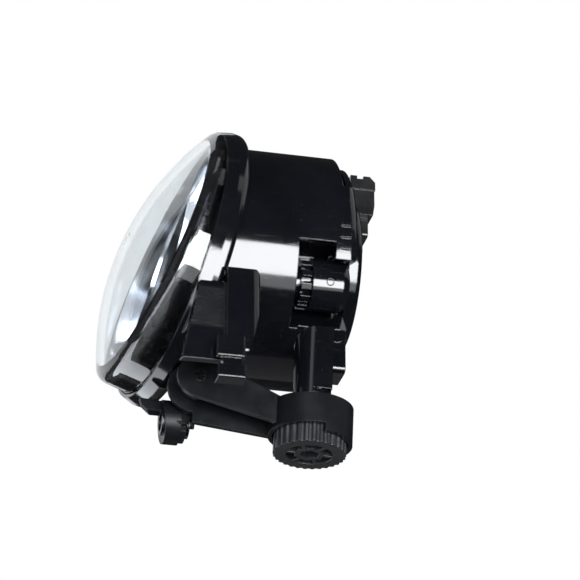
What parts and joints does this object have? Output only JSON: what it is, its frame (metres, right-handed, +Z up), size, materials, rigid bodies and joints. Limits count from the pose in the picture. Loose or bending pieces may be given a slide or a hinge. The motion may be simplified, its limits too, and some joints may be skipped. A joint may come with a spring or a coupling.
{
  "type": "fog light",
  "caption": "Round front fog light: domed glass lens, black moulded housing with bulb and connector, on a hinged bracket with a hand-turned aim adjuster.",
  "frame": {"origin": "centre of the mounting screw's hole in the bracket's ear", "axes": "+Z up, the lens faces -Y, +X towards the outboard side; the mounting screw runs along Y"},
  "size_m": [0.1035, 0.0953, 0.1267],
  "materials": {
    "black_plastic": "glossy moulded glass-filled polyester",
    "bracket_plastic": "satin black moulded plastic",
    "knob_plastic": "satin dark grey moulded plastic",
    "lens_glass": "clear polished",
    "mirror_coat": "bright aluminised",
    "steel": "zinc plated",
    "black_steel": "black zinc plated",
    "seal_rubber": "matt",
    "red_rubber": "silicone seal",
    "white_plastic": "natural acetal",
    "membrane": "fine vent membrane",
    "bulb_plastic": "matt black heat-resistant plastic",
    "bulb_glass": "clear quartz glass",
    "filament": "tungsten wire",
    "tin": "tin-plated brass",
    "shield_steel": "dark heat-resistant paint"
  },
  "bodies": {
    "bracket": {"bracket": "bracket_plastic", "mount_sleeve": "black_steel", "pivot_pin": "black_steel"},
    "lamp": {"housing": "black_plastic", "lens": "lens_glass", "lens_seal": "seal_rubber", "reflector": "mirror_coat", "reflector_screws": "steel", "bulb_shield": "shield_steel", "shield_rivet": "steel", "rear_cover": "black_plastic", "cover_seal": "seal_rubber", "side_clip": "black_plastic", "vent_cap": "black_plastic", "vent_membrane": "membrane", "ball_socket": "white_plastic"},
    "knob": {"adjuster_knob": "knob_plastic", "adjuster_spindle": "steel", "spindle_clip": "steel"},
    "nut": {"ball_nut": "white_plastic"},
    "bulb": {"bulb_base": "bulb_plastic", "bulb_seal": "red_rubber", "bulb_glass": "bulb_glass", "bulb_filament": "filament", "bulb_leads": "filament", "connector_pins": "tin"}
  },
  "joints": [
    {"name": "aim_tilt", "type": "hinge", "parent": "bracket", "child": "lamp", "pos_m": [0.0155, 0.0048, 0.009], "axis": [1, 0, 0], "range_deg": [-3, 3]},
    {"name": "knob_spin", "type": "hinge", "parent": "bracket", "child": "knob", "pos_m": [0.0155, 0.0439, -0.0139], "axis": [0, 0.0419, 0.9991], "range_deg": [-380.1, 380.1]},
    {"name": "nut_travel", "type": "slide", "parent": "bracket", "child": "nut", "axis": [0, 0.0419, 0.9991], "range_m": [-0.00221, 0.00221]},
    {"name": "bulb_twist", "type": "hinge", "parent": "lamp", "child": "bulb", "pos_m": [-0.005, 0.0595, 0.0644], "axis": [0, 1, 0], "range_deg": [0, 35]}
  ],
  "couplings": [
    {"joint": "knob_spin", "follows": "aim_tilt", "ratio": -126.38},
    {"joint": "nut_travel", "follows": "aim_tilt", "m_per_rad": 0.040227}
  ]
}
